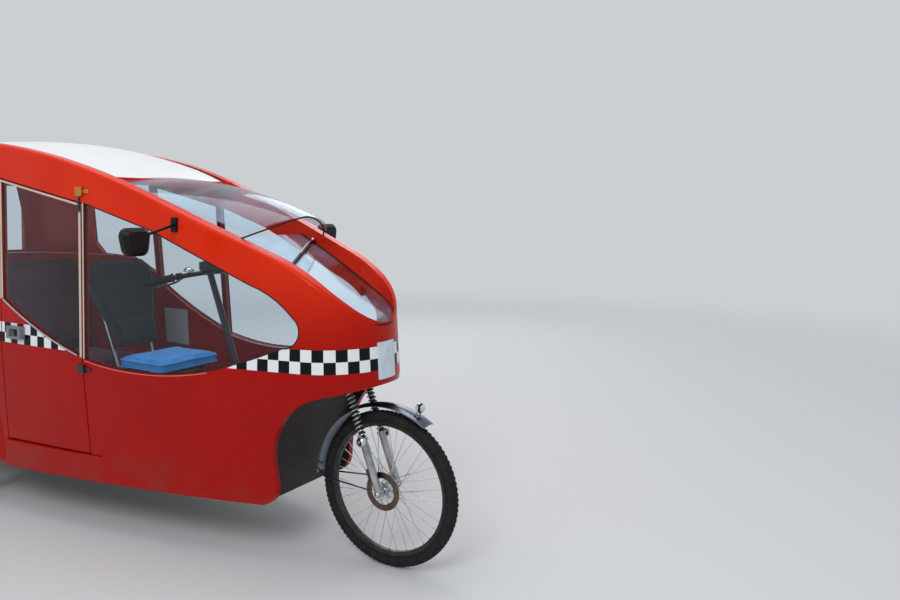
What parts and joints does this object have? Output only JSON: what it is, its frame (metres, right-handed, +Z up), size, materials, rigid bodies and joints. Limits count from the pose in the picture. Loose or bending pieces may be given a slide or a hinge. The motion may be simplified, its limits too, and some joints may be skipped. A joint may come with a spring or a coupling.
{
  "type": "cabin cycle rickshaw",
  "caption": "Enclosed pedal-driven three-wheeler with a steered front wheel, hinged side doors, a driver's seat and a rear passenger bench.",
  "frame": {"origin": "on the ground, midway between the front of the front tyre and the tail, on the centre plane", "axes": "+X forward, +Y to the vehicle's left, +Z up"},
  "size_m": [3.5528, 1.2712, 1.8502],
  "materials": {
    "shell_paint": "glossy red-orange moulded shell",
    "dark_plastic": "matt dark grey moulding",
    "black_plastic": "matt black moulding",
    "clear_panel": "clear thin panel",
    "white_panel": "white sheet",
    "pale_trim": "pale anodised",
    "grey_fitting": "grey moulded grip and leaves",
    "dark_metal": "black painted",
    "frame_paint": "dark painted tube",
    "bright_metal": "satin",
    "spring_steel": "bright wire",
    "chrome_lamp": "polished",
    "wheel_metal": "satin",
    "tyre_rubber": "black rubber",
    "soft_rubber": "black grip",
    "blue_fabric": "light blue cover",
    "dark_fabric": "dark grey cover",
    "lamp_red": "red lens"
  },
  "bodies": {
    "chassis": {"front_body": "shell_paint", "roof_arches": "shell_paint", "rear_body_lower": "shell_paint", "rear_body_upper": "shell_paint", "sills": "shell_paint", "floor_pan": "dark_plastic", "wheel_arch_liner": "dark_plastic", "windscreens": "clear_panel", "roof_panel": "white_panel", "cabin_windows": "clear_panel", "window_posts": "pale_trim", "door_hinges": "dark_metal", "frame": "frame_paint", "rear_axle": "dark_metal", "chain_case": "dark_plastic", "driver_seat_frame": "bright_metal", "driver_seat_cushion": "blue_fabric", "driver_backrest": "dark_fabric", "bench_base": "dark_plastic", "bench_cushions": "dark_fabric", "mirrors": "black_plastic", "wiper": "black_plastic", "blank_plates": "white_panel", "tail_lamps": "lamp_red"},
    "steering_fork": {"fork": "bright_metal", "fork_springs": "spring_steel", "front_axle": "bright_metal", "front_mudguard": "bright_metal", "headlamp": "chrome_lamp"},
    "front_wheel_set": {"front_tyre": "tyre_rubber", "front_wheel": "wheel_metal"},
    "handlebar_set": {"handlebar": "dark_metal", "grips": "soft_rubber"},
    "tie_rod_set": {"tie_rod": "dark_metal"},
    "crank_set": {"crankset": "bright_metal", "pedals": "black_plastic"},
    "rear_wheel_left_set": {"rear_tyre_left": "tyre_rubber", "rear_wheel_left": "wheel_metal"},
    "rear_wheel_right_set": {"rear_tyre_right": "tyre_rubber", "rear_wheel_right": "wheel_metal"},
    "door_left_set": {"door_left": "shell_paint", "door_window_left": "clear_panel", "door_posts_left": "pale_trim", "door_fittings_left": "grey_fitting"},
    "door_right_set": {"door_right": "shell_paint", "door_window_right": "clear_panel", "door_posts_right": "pale_trim", "door_fittings_right": "grey_fitting"}
  },
  "joints": [
    {"name": "fork_steer", "type": "hinge", "parent": "chassis", "child": "steering_fork", "pos_m": [1.2074, 0, 0.85], "axis": [-0.342, 0, 0.9397], "range_deg": [-35, 35]},
    {"name": "front_wheel_spin", "type": "hinge", "parent": "steering_fork", "child": "front_wheel_set", "pos_m": [1.4435, 0, 0.333], "axis": [0, 1, 0], "continuous": true},
    {"name": "handlebar_steer", "type": "hinge", "parent": "chassis", "child": "handlebar_set", "pos_m": [0.612, 0, 0.672], "axis": [-0.342, 0, 0.9397], "range_deg": [-35, 35]},
    {"name": "tie_rod_pivot", "type": "hinge", "parent": "handlebar_set", "child": "tie_rod_set", "pos_m": [0.5959, 0.08, 0.716], "axis": [-0.342, 0, 0.9397], "range_deg": [-35, 35]},
    {"name": "crank_spin", "type": "hinge", "parent": "chassis", "child": "crank_set", "pos_m": [0.6435, 0, 0.5], "axis": [0, 1, 0], "continuous": true},
    {"name": "rear_wheel_left_spin", "type": "hinge", "parent": "chassis", "child": "rear_wheel_left_set", "pos_m": [-1.0065, 0.46, 0.254], "axis": [0, 1, 0], "continuous": true},
    {"name": "rear_wheel_right_spin", "type": "hinge", "parent": "chassis", "child": "rear_wheel_right_set", "pos_m": [-1.0065, -0.46, 0.254], "axis": [0, 1, 0], "continuous": true},
    {"name": "door_left_swing", "type": "hinge", "parent": "chassis", "child": "door_left_set", "pos_m": [0.0815, 0.4483, 0.772], "axis": [0, -0.0469, 0.9989], "range_deg": [-75, 0]},
    {"name": "door_right_swing", "type": "hinge", "parent": "chassis", "child": "door_right_set", "pos_m": [0.0815, -0.4483, 0.772], "axis": [0, 0.0469, 0.9989], "range_deg": [0, 75]}
  ],
  "couplings": [
    {"joint": "handlebar_steer", "follows": "fork_steer", "ratio": 1},
    {"joint": "tie_rod_pivot", "follows": "fork_steer", "ratio": -1}
  ]
}
